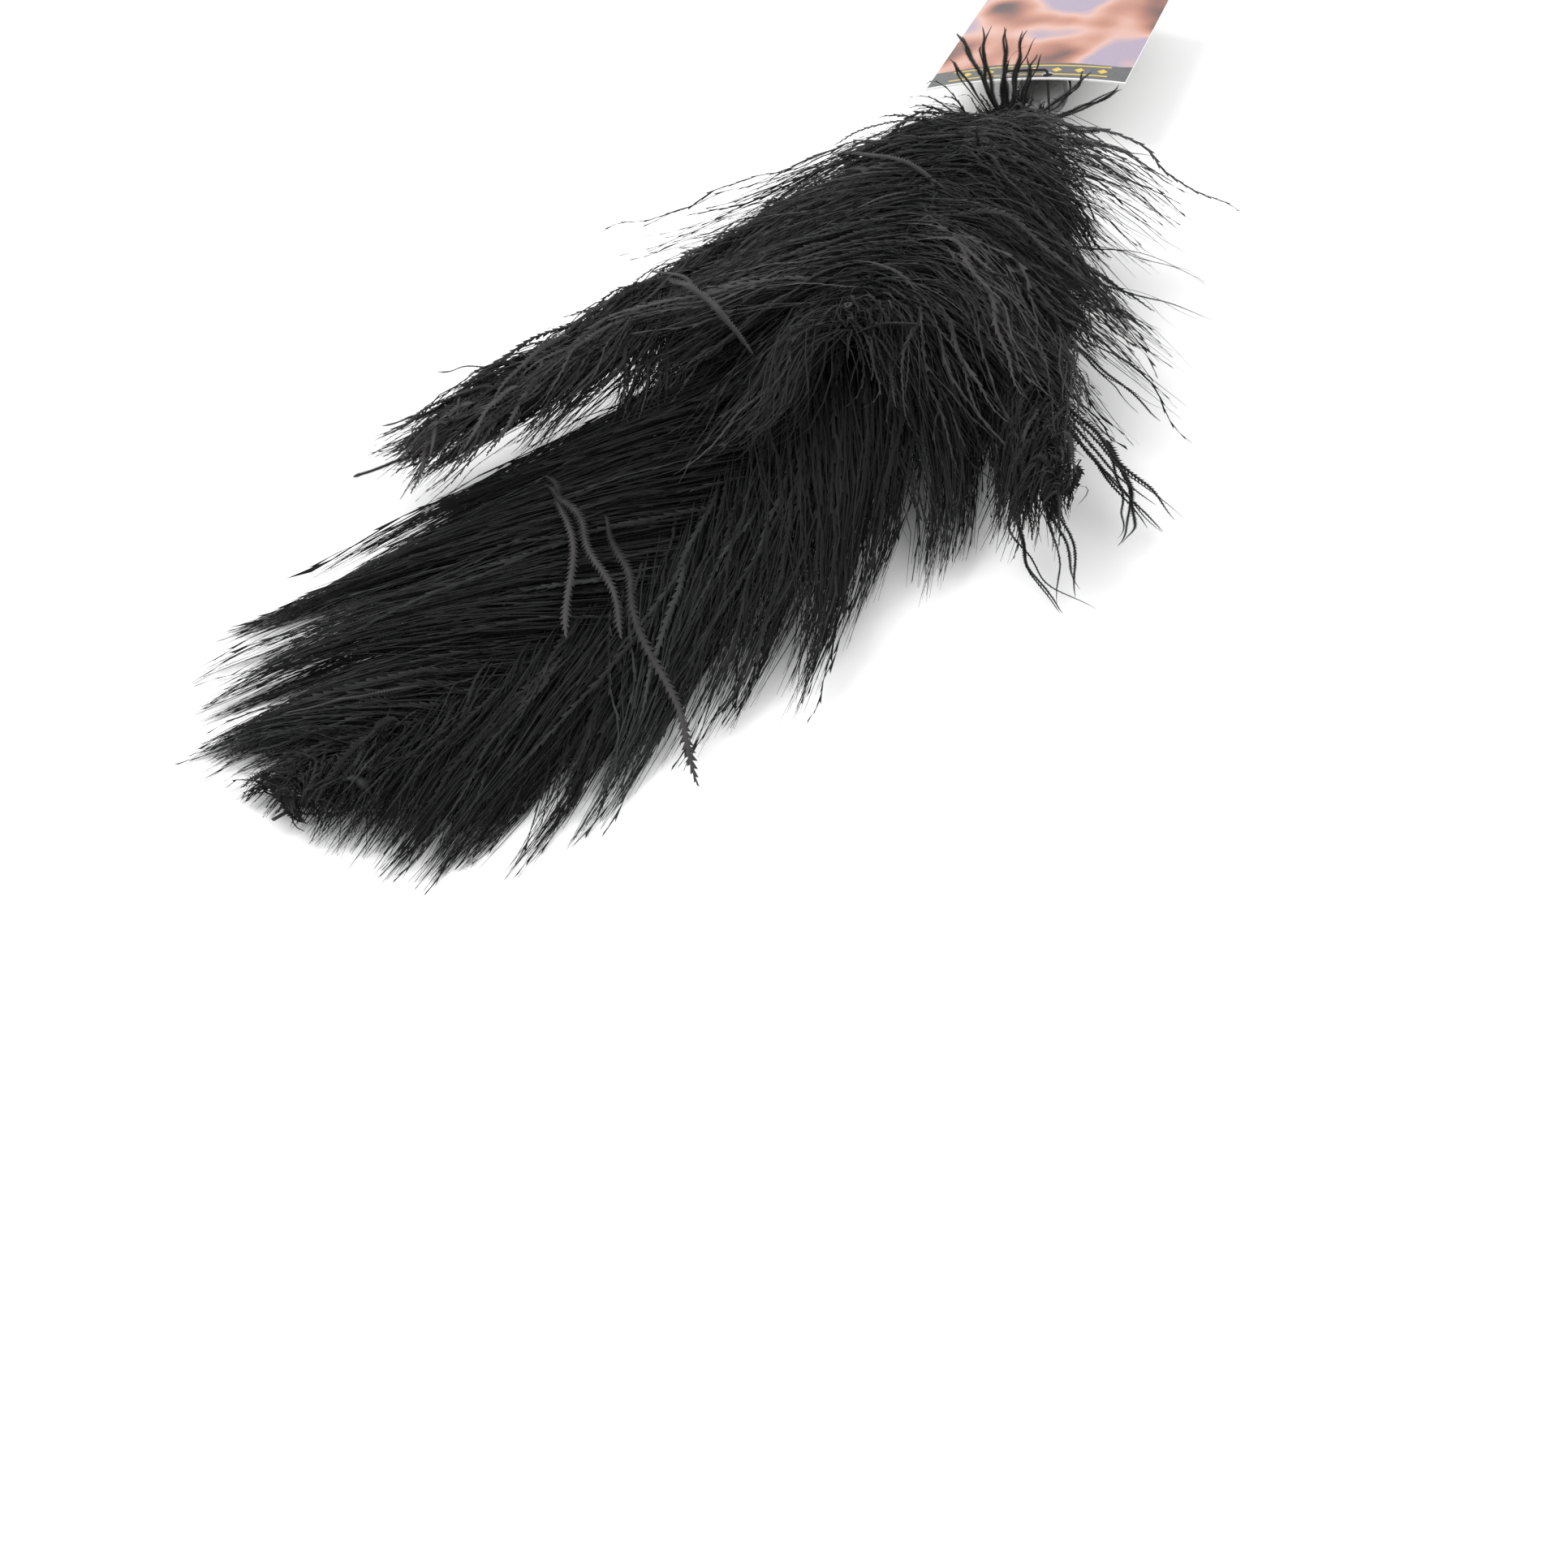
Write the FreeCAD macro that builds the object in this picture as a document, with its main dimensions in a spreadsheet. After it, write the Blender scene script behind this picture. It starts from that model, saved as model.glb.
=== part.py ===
import FreeCAD, Part
import math
import os

import Sketcher
from FreeCAD import Placement, Rotation, Vector

# Ostrich plume feather duster, lying at rest, in millimetres.
# The handle's axis is the X axis: the handle points to +X and the plumes to -X.
# The origin is the middle of the handle's round grip. The surface that the duster lies on is
# one collar mouth radius below it. Places along the handle are counted from the collar's mouth.

doc = FreeCAD.newDocument("feather_duster")
dims = doc.addObject("Spreadsheet::Sheet", "dims")

DIMENSIONS = {
    # turned handle
    "tenonRadius": 5.0,
    "neckRadius": 7.5,
    "neckLength": 4.0,
    "flareLength": 16.0,
    "flareRadius": 11.0,
    "grooveLength": 2.0,
    "grooveDepth": 1.0,
    "beadLength": 6.0,
    "beadHeight": 1.9,
    "shoulderRadius": 11.5,
    "gripStart": 150.0,
    "gripRadius": 11.0,
    "gripLength": 50.0,
    "endLength": 12.0,
    "hangHoleRadius": 2.5,
    # bell collar and what its cup holds
    "collarLength": 18.0,
    "mouthRadius": 12.5,
    "lipLength": 2.5,
    "cupDepth": 9.0,
    "cupMouthRadius": 11.0,
    "cupFloorRadius": 8.0,
    "glueRecess": 1.5,
    "quillRadius": 2.0,
    "quillCircle": 4.2,
    "quillDepth": 7.0,
    "quillReach": 9.0,
    "bindingTurns": 4,
    "bindingWire": 0.8,
    "bindingPitch": 1.7,
    # down over the root of the plumes
    "downStart": 15.0,
    "downLength": 20.0,
    "downBore": 10.5,
    "downThickness": 2.0,
    "downFlare": 9.0,
    # shafts and vanes of the plumes
    "shaftStart": 13.0,
    "shaftRadius": 1.9,
    "shaftTaper": 1.4,
    "vaneGap": 0.4,
    # hang tag and the tie that holds it at the neck
    "cardWidth": 80.0,
    "cardLength": 118.0,
    "cardThickness": 0.6,
    "cardBow": 260.0,
    "cardMargin": 4.0,
    "cardClearance": 1.3,
    "cardRoll": 10.0,
    "tieHoleRadius": 2.2,
    "tieReach": 2.0,
    "tieWire": 0.5,
    "tieClearance": 0.9,
    "tieRise": 1.8,
    "tieCorner": 1.5,
}

# Each plume: the angle of its quill round the handle's axis, how far it reaches, where a straight
# shaft would end to the side and how much the tip curls from there, how high its middle stands
# over its quill and how far its tip drops, the widths of its two vanes and their thickness.
PLUMES = {
    "centre": {
        "Angle": -90.0, "Reach": 420.0, "Side": -15.0, "Curl": 100.0, "Rise": -2.0, "Drop": 2.0,
        "LeftWidth": 62.0, "RightWidth": 70.0, "Thickness": 12.0,
    },
    "left": {
        "Angle": 0.0, "Reach": 275.0, "Side": 92.0, "Curl": 12.0, "Rise": 19.0, "Drop": 6.0,
        "LeftWidth": 30.0, "RightWidth": 27.0, "Thickness": 11.0,
    },
    "right": {
        "Angle": 180.0, "Reach": 252.0, "Side": -72.0, "Curl": -4.0, "Rise": 19.0, "Drop": 6.0,
        "LeftWidth": 22.0, "RightWidth": 34.0, "Thickness": 11.0,
    },
    "top": {
        "Angle": 90.0, "Reach": 215.0, "Side": -16.0, "Curl": 14.0, "Rise": 37.0, "Drop": 8.0,
        "LeftWidth": 60.0, "RightWidth": 52.0, "Thickness": 12.0,
    },
}

STATIONS = 13
FIRST_VANE_STATION = {"centre": 3, "left": 3, "right": 3, "top": 4}
CLIMB_START = 0.04
CLIMB_SPAN = 0.34
DROP_START = 0.55
CURL_POWER = 2.5
FULL_TURN = 360.0

# The section planes of shafts and vanes stand across the handle's axis, with the wide way along Y.
ACROSS = Rotation(Vector(0, 1, 0), Vector(0, 0, 1), Vector(1, 0, 0), "ZXY")
MOUTH_X = "(0 - dims.gripStart - dims.gripLength / 2)"
FLOOR_Z = "(0 - dims.mouthRadius)"
# Radius of the tie's middle line round the neck, which also spaces the card's two holes.
LOOP_RADIUS = "(dims.neckRadius + dims.tieClearance + dims.tieWire)"


def fill_sheet():
    """Write every driving dimension to its own row, with its alias."""
    rows = dict(DIMENSIONS)
    for plume, sizes in PLUMES.items():
        rows.update({plume + name: size for name, size in sizes.items()})
    for row, (alias, size) in enumerate(rows.items(), start=1):
        dims.set(f"A{row}", alias)
        dims.set(f"B{row}", str(size))
        dims.setAlias(f"B{row}", alias)
    doc.recompute()


def number(expression):
    return float(dims.evalExpression(expression))


def place(thing, x="0", y="0", z="0", turn=Rotation()):
    """Place a sub-part at a point counted from the middle of the collar's mouth."""
    thing.Placement = Placement(Vector(), turn)
    thing.setExpression("Placement.Base.x", f"{MOUTH_X} + {x}")
    thing.setExpression("Placement.Base.y", y)
    thing.setExpression("Placement.Base.z", z)


def new_body(label):
    body = doc.addObject("PartDesign::Body", label)
    body.Label = label
    return body


def new_sketch(body, name, role):
    planes = [feature for feature in body.Origin.OriginFeatures if feature.Role == role]
    sketch = body.newObject("Sketcher::SketchObject", name)
    sketch.AttachmentSupport = [(planes[0], "")]
    sketch.MapMode = "FlatFace"
    return sketch


def bind_constraint(sketch, constraint, expression):
    index = sketch.addConstraint(constraint)
    sketch.setExpression(f"Constraints[{index}]", expression)


def pin_point(sketch, curve, end, x, y):
    """Hold one point of a curve at a place given by two expressions."""
    for kind, expression, axis in (("DistanceX", x, -2), ("DistanceY", y, -1)):
        size = number(expression)
        if abs(size) < 1e-9:
            sketch.addConstraint(Sketcher.Constraint("PointOnObject", curve, end, axis))
        else:
            bind_constraint(sketch, Sketcher.Constraint(kind, -1, 1, curve, end, size), expression)


def arc_between(start, end, radius, bulge):
    """The shorter arc between two points, bulging to the left (+1) or right (-1) of the way."""
    chord = end - start
    left = Vector(-chord.y, chord.x, 0).normalize()
    sagitta = radius - math.sqrt(radius ** 2 - (chord.Length / 2) ** 2)
    return Part.Arc(start, (start + end) * 0.5 + left * bulge * sagitta, end)


def closed_profile(body, name, role, corners, arcs):
    """A closed outline through the corners. arcs gives some sides a radius and a bulge."""
    sketch = new_sketch(body, name, role)
    points = [Vector(number(x), number(y), 0) for x, y in corners]
    ends = []
    for index, start in enumerate(points):
        end = points[(index + 1) % len(points)]
        curve = Part.LineSegment(start, end)
        if index in arcs:
            radius, bulge = arcs[index]
            curve = arc_between(start, end, number(radius), bulge)
        sketch.addGeometry(curve, False)
        # An arc that turns clockwise is stored from its end to its start.
        backwards = (sketch.getPoint(index, 1) - start).Length > 1e-6
        ends.append((2, 1) if backwards else (1, 2))
    for index, (first, last) in enumerate(ends):
        following = (index + 1) % len(points)
        meeting = Sketcher.Constraint("Coincident", index, last, following, ends[following][0])
        sketch.addConstraint(meeting)
        pin_point(sketch, index, first, *corners[index])
        if index in arcs:
            radius = arcs[index][0]
            bind_constraint(sketch, Sketcher.Constraint("Radius", index, number(radius)), radius)
    return sketch


def turned(body, corners, arcs):
    """A solid turned about the handle's axis from corners given as (along, radius)."""
    sketch = closed_profile(body, "Profile", "XZ_Plane", corners, arcs)
    feature = body.newObject("PartDesign::Revolution", "Turned")
    feature.Profile = sketch
    feature.ReferenceAxis = (sketch, ["H_Axis"])
    feature.Angle = FULL_TURN
    doc.recompute()


def circle_sketch(body, name, role, centres, radius):
    sketch = new_sketch(body, name, role)
    for index, (x, y) in enumerate(centres):
        middle = Vector(number(x), number(y), 0)
        sketch.addGeometry(Part.Circle(middle, Vector(0, 0, 1), number(radius)), False)
        pin_point(sketch, index, 3, x, y)
        bind_constraint(sketch, Sketcher.Constraint("Radius", index, number(radius)), radius)
    return sketch


def pocket_both_ways(body, name, sketch, length):
    """Cut a sketch to both sides of its plane and make sure that it took material away."""
    volume = body.Tip.Shape.Volume
    cut = body.newObject("PartDesign::Pocket", name)
    cut.Profile = sketch
    cut.Midplane = True
    cut.setExpression("Length", length)
    doc.recompute()
    if cut.Shape.Volume >= volume:
        raise RuntimeError(f"{body.Label}: {name} cuts nothing")
    return cut


def tangent_radius(run, step):
    """Radius of an arc that is tangent to the axis' direction and climbs a step over a run."""
    return f"(({run}) ^ 2 + ({step}) ^ 2) / (2 * ({step}))"


def make_handle():
    """Turned wood: tenon, neck, flare, bead, taper, round grip, domed end with a hanging hole."""
    body = new_body("handle")
    flare_start = "dims.collarLength + dims.neckLength"
    flare_end = f"{flare_start} + dims.flareLength"
    bead_start = f"{flare_end} + dims.grooveLength"
    bead_end = f"{bead_start} + dims.beadLength"
    shoulder = f"{bead_end} + dims.grooveLength"
    groove_radius = "dims.flareRadius - dims.grooveDepth"
    grip_end = "dims.gripStart + dims.gripLength"
    end_start = f"{grip_end} + dims.grooveLength"
    dome_start = f"{end_start} + dims.endLength"
    end_groove_radius = "dims.gripRadius - dims.grooveDepth"
    corners = [
        ("dims.cupDepth", "0"),
        ("dims.cupDepth", "dims.tenonRadius"),
        ("dims.collarLength", "dims.tenonRadius"),
        ("dims.collarLength", "dims.neckRadius"),
        (flare_start, "dims.neckRadius"),
        (flare_end, "dims.flareRadius"),
        (flare_end, groove_radius),
        (bead_start, groove_radius),
        (bead_end, groove_radius),
        (shoulder, groove_radius),
        (shoulder, "dims.shoulderRadius"),
        ("dims.gripStart", "dims.gripRadius"),
        (grip_end, "dims.gripRadius"),
        (grip_end, end_groove_radius),
        (end_start, end_groove_radius),
        (end_start, "dims.gripRadius"),
        (dome_start, "dims.gripRadius"),
        (f"{dome_start} + dims.gripRadius", "0"),
    ]
    arcs = {
        4: (tangent_radius("dims.flareLength", "dims.flareRadius - dims.neckRadius"), -1),
        7: (tangent_radius("dims.beadLength / 2", "dims.beadHeight"), 1),
        16: ("dims.gripRadius", 1),
    }
    turned(body, corners, arcs)
    centre = (f"{end_start} + dims.endLength / 2", "0")
    hole = circle_sketch(body, "HangHoleSketch", "XY_Plane", [centre], "dims.hangHoleRadius")
    pocket_both_ways(body, "HangHole", hole, "4 * dims.gripRadius")
    place(body)
    return body


def make_collar():
    """Bell-shaped collar: a socket for the tenon behind and a cup for the quills in front."""
    body = new_body("collar")
    corners = [
        ("0", "dims.cupMouthRadius"),
        ("0", "dims.mouthRadius"),
        ("dims.lipLength", "dims.mouthRadius"),
        ("dims.collarLength", "dims.neckRadius"),
        ("dims.collarLength", "dims.tenonRadius"),
        ("dims.cupDepth", "dims.tenonRadius"),
        ("dims.cupDepth", "dims.cupFloorRadius"),
    ]
    run = "dims.collarLength - dims.lipLength"
    arcs = {2: (tangent_radius(run, "dims.mouthRadius - dims.neckRadius"), -1)}
    turned(body, corners, arcs)
    place(body)
    return body


def make_glue_plug():
    """The adhesive that fills the cup round the ends of the quills."""
    body = new_body("glue_plug")
    taper = "(dims.cupMouthRadius - dims.cupFloorRadius) / dims.cupDepth"
    corners = [
        ("dims.glueRecess", "0"),
        ("dims.glueRecess", f"dims.cupMouthRadius - dims.glueRecess * {taper}"),
        ("dims.cupDepth", "dims.cupFloorRadius"),
        ("dims.cupDepth", "0"),
    ]
    turned(body, corners, {})
    centre = ("dims.quillCircle", "0")
    sketch = circle_sketch(body, "QuillHoleSketch", "YZ_Plane", [centre], "dims.quillRadius")
    hole = pocket_both_ways(body, "QuillHole", sketch, "2 * dims.quillDepth")
    ring = body.newObject("PartDesign::PolarPattern", "QuillHoles")
    ring.Originals = [hole]
    ring.Axis = (sketch, ["N_Axis"])
    ring.Angle = FULL_TURN
    ring.Occurrences = len(PLUMES)
    body.Tip = ring
    place(body)
    return body


def make_quill_binding():
    """Wire wound round the quills just outside the collar's mouth."""
    rings = []
    for turn in range(int(number("dims.bindingTurns"))):
        ring = doc.addObject("Part::Torus", f"binding_turn_{turn + 1}")
        ring.setExpression("Radius1", "dims.quillCircle + dims.quillRadius + dims.bindingWire")
        ring.setExpression("Radius2", "dims.bindingWire")
        along = f"0 - dims.bindingWire * 1.5 - {turn} * dims.bindingPitch"
        place(ring, along, turn=Rotation(Vector(0, 1, 0), 90))
        rings.append(ring)
    group = doc.addObject("Part::Compound", "quill_binding")
    group.Label = "quill_binding"
    group.Links = rings
    return group


def make_root_down():
    """Short down over the shafts where they leave the binding, flat where it lies."""
    body = new_body("root_down")
    start = "0 - dims.downStart"
    end = f"{start} - dims.downLength"
    inner = "dims.downBore"
    outer = "dims.downBore + dims.downThickness"
    corners = [
        (start, inner),
        (start, outer),
        (end, f"{outer} + dims.downFlare"),
        (end, f"{inner} + dims.downFlare"),
    ]
    turned(body, corners, {})
    wide = "dims.downBore + dims.downThickness + dims.downFlare"
    below = [
        ("0 - dims.downStart + dims.downBore", f"{FLOOR_Z} + dims.vaneGap"),
        ("0 - dims.downStart + dims.downBore", f"0 - 2 * ({wide})"),
        (f"{end} - dims.downBore", f"0 - 2 * ({wide})"),
        (f"{end} - dims.downBore", f"{FLOOR_Z} + dims.vaneGap"),
    ]
    sketch = closed_profile(body, "FloorCut", "XZ_Plane", below, {})
    pocket_both_ways(body, "FlatUnderside", sketch, f"4 * ({wide})")
    place(body)
    return body


def climb_share(share):
    """How much of its rise a shaft has at a share of its reach: a smooth step near the root."""
    ratio = min(max((share - CLIMB_START) / CLIMB_SPAN, 0), 1)
    return ratio * ratio * (3 - 2 * ratio)


def drop_share(share):
    """How much of its drop a shaft has at a share of its reach."""
    return (max(share - DROP_START, 0) / (1 - DROP_START)) ** 2


def station_share(station):
    return station / (STATIONS - 1)


def shaft_point(plume, station):
    """Expressions for a point of a plume's shaft, counted from the collar's mouth."""
    share = station_share(station)
    x = f"0 - dims.shaftStart - dims.{plume}Reach * {share}"
    side = f"dims.{plume}Side * {share} + dims.{plume}Curl * {share ** CURL_POWER}"
    lift = f"dims.{plume}Rise * {climb_share(share)} - dims.{plume}Drop * {drop_share(share)}"
    y = f"dims.quillCircle * cos(dims.{plume}Angle) + {side}"
    z = f"dims.quillCircle * sin(dims.{plume}Angle) + {lift}"
    return x, y, z


def loft(label, sections):
    """A closed solid through sections, straight from each to the next."""
    solid = doc.addObject("Part::Loft", label)
    solid.Label = label
    solid.Sections = sections
    solid.Solid = True
    solid.Ruled = True
    return solid


def make_quill(plume):
    """The bare end of a plume's shaft, glued in the cup and bound outside it."""
    quill = doc.addObject("Part::Cylinder", f"{plume}_quill")
    quill.Label = f"{plume}_quill"
    quill.setExpression("Radius", "dims.quillRadius")
    quill.setExpression("Height", "dims.quillReach + dims.quillDepth")
    y = f"dims.quillCircle * cos(dims.{plume}Angle)"
    z = f"dims.quillCircle * sin(dims.{plume}Angle)"
    place(quill, "0 - dims.quillReach", y, z, Rotation(Vector(0, 1, 0), 90))
    return quill


def make_shaft(plume):
    """The tapering shaft that carries a plume's two vanes."""
    sections = []
    for station in range(STATIONS):
        circle = doc.addObject("Part::Circle", f"{plume}_shaft_section_{station + 1}")
        share = station_share(station)
        circle.setExpression("Radius", f"dims.shaftRadius - dims.shaftTaper * {share}")
        place(circle, *shaft_point(plume, station), ACROSS)
        sections.append(circle)
    return loft(f"{plume}_shaft", sections)


def vane_fullness(plume, station):
    """Share of a vane's full width at a station: slim at the root, blunt at the tip."""
    first = FIRST_VANE_STATION[plume]
    share = (station - first) / (STATIONS - 1 - first)
    return math.sin(math.pi * (0.04 + 0.85 * share ** 1.2)) ** 0.6


def make_vane(plume, side, sign):
    """One vane of a plume as the closed space that its barbs fill, beside the shaft."""
    sections = []
    for station in range(FIRST_VANE_STATION[plume], STATIONS):
        full = vane_fullness(plume, station)
        half_width = f"dims.{plume}{side}Width * {full / 2}"
        ellipse = doc.addObject("Part::Ellipse", f"{plume}_{side}_section_{station + 1}")
        ellipse.setExpression("MajorRadius", half_width)
        limit = f"0.8 * {half_width}"
        ellipse.setExpression("MinorRadius", f"min(dims.{plume}Thickness * {full / 2}; {limit})")
        x, y, z = shaft_point(plume, station)
        offset = f"dims.shaftRadius + dims.vaneGap + {half_width}"
        place(ellipse, x, f"{y} + {sign} * ({offset})", z, ACROSS)
        sections.append(ellipse)
    return loft(f"{plume}_{side.lower()}_vane", sections)


def hinge_turn():
    """The card's roll about the handle's axis: its +Y side hangs lower."""
    return Rotation(Vector(1, 0, 0), -number("dims.cardRoll"))


def hinge_height():
    """Height of the card's middle surface over the handle's axis, just clear of the bead."""
    bead_top = "dims.flareRadius - dims.grooveDepth + dims.beadHeight"
    return f"({bead_top} + dims.cardClearance + dims.cardThickness / 2)"


def hinge_point():
    """The middle of the two tie holes, as expressions counted from the collar's mouth."""
    x = "dims.collarLength + dims.neckLength + dims.tieReach"
    y = f"{hinge_height()} * sin(dims.cardRoll)"
    z = f"{hinge_height()} * cos(dims.cardRoll)"
    return x, y, z


def make_tag_card():
    """Printed card, bowed across its width, with two holes for the tie by its near edge."""
    body = new_body("tag_card")
    half = "dims.cardWidth / 2"
    half_thick = "dims.cardThickness / 2"
    drop = f"(dims.cardBow - sqrt(dims.cardBow ^ 2 - ({half}) ^ 2))"
    corners = [
        (f"0 - {half}", f"{half_thick} - {drop}"),
        (half, f"{half_thick} - {drop}"),
        (half, f"0 - {half_thick} - {drop}"),
        (f"0 - {half}", f"0 - {half_thick} - {drop}"),
    ]
    arcs = {0: ("dims.cardBow", 1), 2: ("dims.cardBow", -1)}
    sketch = closed_profile(body, "Section", "YZ_Plane", corners, arcs)
    pad = body.newObject("PartDesign::Pad", "Sheet")
    pad.Profile = sketch
    pad.setExpression("Length", "dims.cardLength")
    doc.recompute()
    centres = [("dims.cardMargin", f"{sign} * {LOOP_RADIUS}") for sign in (-1, 1)]
    holes = circle_sketch(body, "TieHoleSketch", "XY_Plane", centres, "dims.tieHoleRadius")
    pocket_both_ways(body, "TieHoles", holes, "dims.cardWidth")
    x, y, z = hinge_point()
    place(body, f"{x} - dims.cardMargin", y, z, hinge_turn())
    return body


def make_tag_tie():
    """Elastic loop: round the neck, up through one hole of the card and down the other."""
    body = new_body("tag_tie")
    along = "(dims.neckLength / 2 + dims.tieReach)"
    across = f"({hinge_height()} + {LOOP_RADIUS})"
    span = f"sqrt({along} ^ 2 + {across} ^ 2)"
    top = f"{span} - {LOOP_RADIUS} + dims.tieRise"
    corners = [
        (f"0 - {LOOP_RADIUS}", "0"),
        ("0", f"0 - {LOOP_RADIUS}"),
        (LOOP_RADIUS, "0"),
        (LOOP_RADIUS, f"{top} - dims.tieCorner"),
        (f"{LOOP_RADIUS} - dims.tieCorner", top),
        (f"dims.tieCorner - {LOOP_RADIUS}", top),
        (f"0 - {LOOP_RADIUS}", f"{top} - dims.tieCorner"),
    ]
    arcs = {
        0: (LOOP_RADIUS, -1),
        1: (LOOP_RADIUS, -1),
        3: ("dims.tieCorner", -1),
        5: ("dims.tieCorner", -1),
    }
    path = closed_profile(body, "Path", "YZ_Plane", corners, arcs)
    start = ("0", f"0 - {LOOP_RADIUS}")
    section = circle_sketch(body, "Section", "XY_Plane", [start], "dims.tieWire")
    loop = body.newObject("PartDesign::AdditivePipe", "Loop")
    loop.Profile = section
    loop.Spine = path
    lean = math.degrees(math.atan2(number(along), number(across)))
    x, y, z = hinge_point()
    down = f"({span} - {LOOP_RADIUS})"
    inward = f"{down} * {across} / {span}"
    place(
        body,
        f"{x} - {down} * {along} / {span}",
        f"{y} - {inward} * sin(dims.cardRoll)",
        f"{z} - {inward} * cos(dims.cardRoll)",
        hinge_turn() * Rotation(Vector(0, 1, 0), lean),
    )
    return body


def make_all():
    parts = [
        make_handle(),
        make_collar(),
        make_glue_plug(),
        make_quill_binding(),
        make_root_down(),
        make_tag_card(),
        make_tag_tie(),
    ]
    for plume in PLUMES:
        parts.append(make_quill(plume))
        parts.append(make_shaft(plume))
        parts.append(make_vane(plume, "Left", 1))
        parts.append(make_vane(plume, "Right", -1))
    doc.recompute()
    return parts


def write_parts(parts):
    """Refuse a failed or invalid sub-part, then write each one to its own file."""
    for thing in doc.Objects:
        if "Invalid" in thing.State or "Error" in thing.State:
            raise RuntimeError(f"{thing.Name} failed: {thing.State}")
    for part in parts:
        if part.Shape.isNull() or not part.Shape.isValid():
            raise RuntimeError(f"{part.Label} has no valid shape")
    os.makedirs("parts", exist_ok=True)
    for part in parts:
        part.Shape.exportStep(f"parts/{part.Label}.step")
        box = part.Shape.BoundBox
        size = f"{box.XMin:.1f} {box.XMax:.1f} {box.YMin:.1f} {box.YMax:.1f} {box.ZMin:.1f} {box.ZMax:.1f}"
        print(part.Label, len(part.Shape.Solids), f"{part.Shape.Volume / 1000:.2f} cm3", size)


fill_sheet()
write_parts(make_all())
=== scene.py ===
"""Looks of the feather duster: four dyed plumes on a lacquered handle, with a printed tag."""

import math

import bpy
import numpy as np
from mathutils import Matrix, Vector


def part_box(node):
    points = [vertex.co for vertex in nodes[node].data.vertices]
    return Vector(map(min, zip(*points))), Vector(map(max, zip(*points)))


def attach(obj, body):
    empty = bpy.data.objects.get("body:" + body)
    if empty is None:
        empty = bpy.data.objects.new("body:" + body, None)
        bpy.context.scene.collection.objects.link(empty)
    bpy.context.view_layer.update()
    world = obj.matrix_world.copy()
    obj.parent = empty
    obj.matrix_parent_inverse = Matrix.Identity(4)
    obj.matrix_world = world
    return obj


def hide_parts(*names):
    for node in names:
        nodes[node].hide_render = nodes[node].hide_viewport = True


MM = 0.001
UP = np.array([0.0, 0.0, 1.0])
# Scatter is mostly level.
FLAT = np.array([1.0, 1.0, 0.3])

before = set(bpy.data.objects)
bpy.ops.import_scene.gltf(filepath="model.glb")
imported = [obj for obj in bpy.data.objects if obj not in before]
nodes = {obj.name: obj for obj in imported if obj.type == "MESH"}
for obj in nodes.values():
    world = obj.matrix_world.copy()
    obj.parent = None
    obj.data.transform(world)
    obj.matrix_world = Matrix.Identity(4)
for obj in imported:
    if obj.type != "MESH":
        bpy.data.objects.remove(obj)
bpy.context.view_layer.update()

# The surface that the duster lies on is as low as the lowest vane.
FLOOR = min(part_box(name)[0][2] for name in nodes)
FLOOR_GAP = 0.4 * MM
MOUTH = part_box("collar")[0][0]
# Barbs that would stick out further than this to the left or right are left out.
PAST_CAD = 13 * MM
REACH_LEFT = max(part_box(name)[1][1] for name in nodes) + PAST_CAD
REACH_RIGHT = min(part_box(name)[0][1] for name in nodes) - PAST_CAD

# What a plume's barbs have in common:
#   first        share of the shaft at which the barbs begin
#   spread       scatter of their roots, in mm
#   contrast     how much the locks differ in shade
#   shortest     the least share of its run that a barb keeps
#   own_scatter  a barb's own scatter, as a share of its lock's
#   fuzz         how many loose, ragged barbs there are, against smooth ones
#   late         how much thinner the filling gets at the end of the shaft
PLUMES = {
    "centre": {
        "first": 0.04,
        "spread": 6,
        "contrast": 0.16,
        "shortest": 0.72,
        "own_scatter": 0.4,
        "fuzz": 1.0,
        "late": 0.65,
    },
    "left": {
        "first": 0.02,
        "spread": 3,
        "contrast": 0.22,
        "shortest": 0.42,
        "own_scatter": 0.55,
        "fuzz": 1.35,
        "late": 0.75,
    },
    "right": {
        "first": 0.02,
        "spread": 3,
        "contrast": 0.22,
        "shortest": 0.42,
        "own_scatter": 0.55,
        "fuzz": 1.35,
        "late": 0.9,
    },
    "top": {
        "first": 0.03,
        "spread": 4,
        "contrast": 0.3,
        "shortest": 0.3,
        "own_scatter": 0.6,
        "fuzz": 1.35,
        "late": 0.75,
    },
}

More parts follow.
